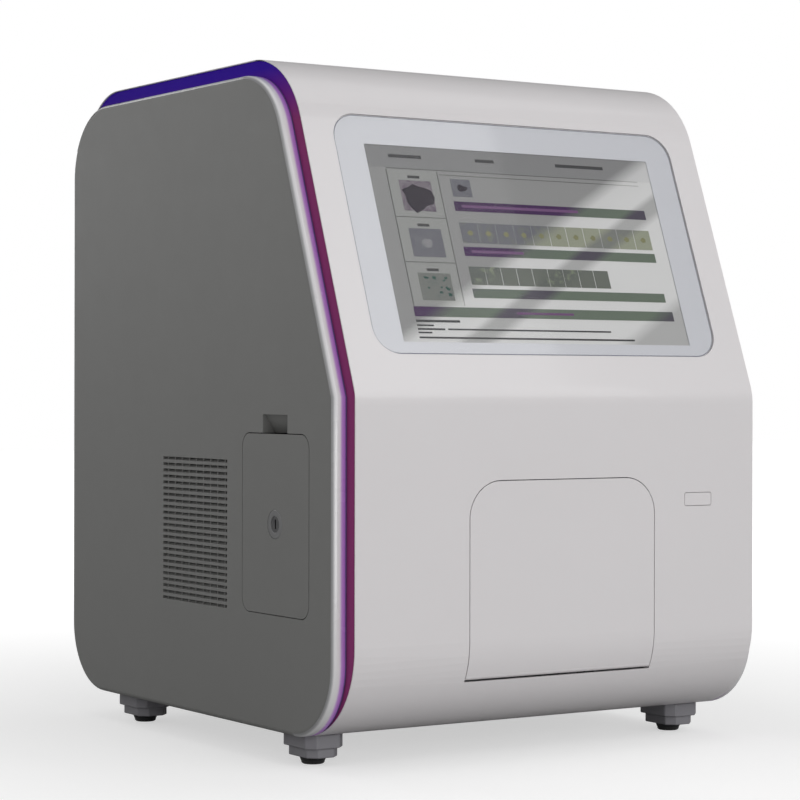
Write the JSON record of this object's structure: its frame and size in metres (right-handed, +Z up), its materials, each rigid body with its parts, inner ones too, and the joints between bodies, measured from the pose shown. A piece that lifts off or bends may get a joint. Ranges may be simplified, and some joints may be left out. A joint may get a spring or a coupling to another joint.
{
  "type": "urine and feces analyzer",
  "caption": "Benchtop sample analyzer with a sloping touch screen, drop-down sample door, locked side hatch, sliding tray and microscope camera.",
  "frame": {"origin": "on the table, under the middle of the body", "axes": "+X to the right seen from the front, +Y to the back, +Z up"},
  "size_m": [0.3, 0.339, 0.404],
  "materials": {
    "front_cover": "glossy moulded plastic",
    "top_cover": "glossy moulded plastic",
    "base_pan": "glossy moulded plastic",
    "back_panel": "powder coat",
    "trim_strip_left": "satin",
    "trim_strip_right": "satin",
    "side_panel_left": "satin",
    "side_panel_right": "satin",
    "sample_door": "glossy moulded plastic",
    "door_hinge_pins": "satin",
    "door_frame": "matt",
    "door_magnets": "plated",
    "door_strikes": "satin",
    "side_hatch": "satin",
    "hatch_hinge_pins": "satin",
    "lock_housing": "plated",
    "lock_nut": "plated",
    "lock_plug": "plated",
    "lock_cam": "plated",
    "touch_glass": "polished",
    "lcd_module": "display",
    "display_bracket": "zinc plated",
    "front_button": "glossy moulded plastic",
    "button_switch": "matt",
    "foot_block_front_left": "satin",
    "foot_block_front_right": "satin",
    "foot_block_rear_left": "satin",
    "foot_block_rear_right": "satin",
    "foot_pads": "matt",
    "power_inlet": "matt",
    "rocker_switch": "gloss",
    "io_ports": "tin plated",
    "fan_frame": "matt",
    "fan_rotor": "matt",
    "fan_guard": "plated",
    "chassis_wall_left": "zinc plated",
    "chassis_wall_right": "zinc plated",
    "rear_bulkhead": "zinc plated",
    "bottle_shelf": "stainless",
    "main_board": "solder mask",
    "power_supply": "bare",
    "stage_plate": "black anodised",
    "tray_rails": "ground",
    "sample_tray": "matt",
    "tray_motor": "matt",
    "drive_pulley": "bare",
    "idler_pulley": "bare",
    "drive_belt": "matt",
    "optics_frame": "black anodised",
    "focus_carriage": "anodised",
    "objective_lens": "satin chrome",
    "camera_module": "anodised",
    "focus_screw": "ground",
    "focus_motor": "matt",
    "stage_lamp": "anodised",
    "reagent_bottle": "translucent white",
    "waste_bottle": "translucent amber",
    "pump_body": "satin",
    "pump_rotor": "satin",
    "case_screws": "zinc plated"
  },
  "bodies": {
    "case": {"front_cover": "front_cover", "top_cover": "top_cover", "base_pan": "base_pan", "back_panel": "back_panel", "trim_strip_left": "trim_strip_left", "trim_strip_right": "trim_strip_right", "side_panel_left": "side_panel_left", "side_panel_right": "side_panel_right", "door_hinge_pins": "door_hinge_pins", "door_frame": "door_frame", "door_magnets": "door_magnets", "hatch_hinge_pins": "hatch_hinge_pins", "touch_glass": "touch_glass", "lcd_module": "lcd_module", "display_bracket": "display_bracket", "button_switch": "button_switch", "foot_block_front_left": "foot_block_front_left", "foot_block_front_right": "foot_block_front_right", "foot_block_rear_left": "foot_block_rear_left", "foot_block_rear_right": "foot_block_rear_right", "foot_pads": "foot_pads", "power_inlet": "power_inlet", "io_ports": "io_ports", "fan_frame": "fan_frame", "fan_guard": "fan_guard", "chassis_wall_left": "chassis_wall_left", "chassis_wall_right": "chassis_wall_right", "rear_bulkhead": "rear_bulkhead", "bottle_shelf": "bottle_shelf", "main_board": "main_board", "power_supply": "power_supply", "stage_plate": "stage_plate", "tray_rails": "tray_rails", "tray_motor": "tray_motor", "drive_belt": "drive_belt", "optics_frame": "optics_frame", "focus_motor": "focus_motor", "stage_lamp": "stage_lamp", "reagent_bottle": "reagent_bottle", "waste_bottle": "waste_bottle", "pump_body": "pump_body", "case_screws": "case_screws"},
    "door": {"sample_door": "sample_door", "door_strikes": "door_strikes"},
    "hatch": {"side_hatch": "side_hatch", "lock_housing": "lock_housing", "lock_nut": "lock_nut"},
    "lock": {"lock_plug": "lock_plug", "lock_cam": "lock_cam"},
    "button": {"front_button": "front_button"},
    "rocker": {"rocker_switch": "rocker_switch"},
    "fan_wheel": {"fan_rotor": "fan_rotor"},
    "pump_wheel": {"pump_rotor": "pump_rotor"},
    "tray": {"sample_tray": "sample_tray"},
    "drive_wheel": {"drive_pulley": "drive_pulley"},
    "idler_wheel": {"idler_pulley": "idler_pulley"},
    "focus": {"focus_carriage": "focus_carriage", "objective_lens": "objective_lens", "camera_module": "camera_module"},
    "screw": {"focus_screw": "focus_screw"}
  },
  "joints": [
    {"name": "door_hinge", "type": "hinge", "parent": "case", "child": "door", "pos_m": [0, -0.163, 0.0513], "axis": [1, 0, 0], "range_deg": [0, 90]},
    {"name": "hatch_hinge", "type": "hinge", "parent": "case", "child": "hatch", "pos_m": [-0.148, -0.0965, 0.0945], "axis": [0, -1, 0], "range_deg": [0, 90]},
    {"name": "lock_turn", "type": "hinge", "parent": "hatch", "child": "lock", "pos_m": [-0.15, -0.0965, 0.13575], "axis": [1, 0, 0], "range_deg": [0, 90]},
    {"name": "button_press", "type": "slide", "parent": "case", "child": "button", "axis": [0, 1, 0], "range_m": [0, 0.002], "stiffness_N_per_m": 300, "springref_m": -0.002},
    {"name": "rocker_tilt", "type": "hinge", "parent": "case", "child": "rocker", "pos_m": [-0.095, 0.165, 0.153], "axis": [1, 0, 0], "range_deg": [-18, 0]},
    {"name": "fan_spin", "type": "hinge", "parent": "case", "child": "fan_wheel", "pos_m": [0.08, 0.159, 0.11], "axis": [0, 1, 0], "continuous": true},
    {"name": "pump_spin", "type": "hinge", "parent": "case", "child": "pump_wheel", "pos_m": [-0.08, 0.098, 0.29], "axis": [0, 1, 0], "continuous": true},
    {"name": "tray_slide", "type": "slide", "parent": "case", "child": "tray", "axis": [0, 1, 0], "range_m": [0, 0.13]},
    {"name": "drive_pulley_spin", "type": "hinge", "parent": "case", "child": "drive_wheel", "pos_m": [0.033, 0.108, 0.0515], "axis": [-1, 0, 0], "range_deg": [-3, 877]},
    {"name": "idler_pulley_spin", "type": "hinge", "parent": "case", "child": "idler_wheel", "pos_m": [0.033, -0.135, 0.0515], "axis": [-1, 0, 0], "range_deg": [-3, 877]},
    {"name": "focus_slide", "type": "slide", "parent": "case", "child": "focus", "axis": [0, 0, 1], "range_m": [-0.012, 0.012]},
    {"name": "focus_screw_turn", "type": "hinge", "parent": "case", "child": "screw", "pos_m": [0.04, 0.0807, 0.118], "axis": [0, 0, 1], "range_deg": [-600, 600]}
  ],
  "couplings": [
    {"joint": "drive_pulley_spin", "follows": "tray_slide", "rad_per_m": 113.64},
    {"joint": "idler_pulley_spin", "follows": "tray_slide", "rad_per_m": 113.64},
    {"joint": "focus_screw_turn", "follows": "focus_slide", "rad_per_m": -785.4}
  ]
}
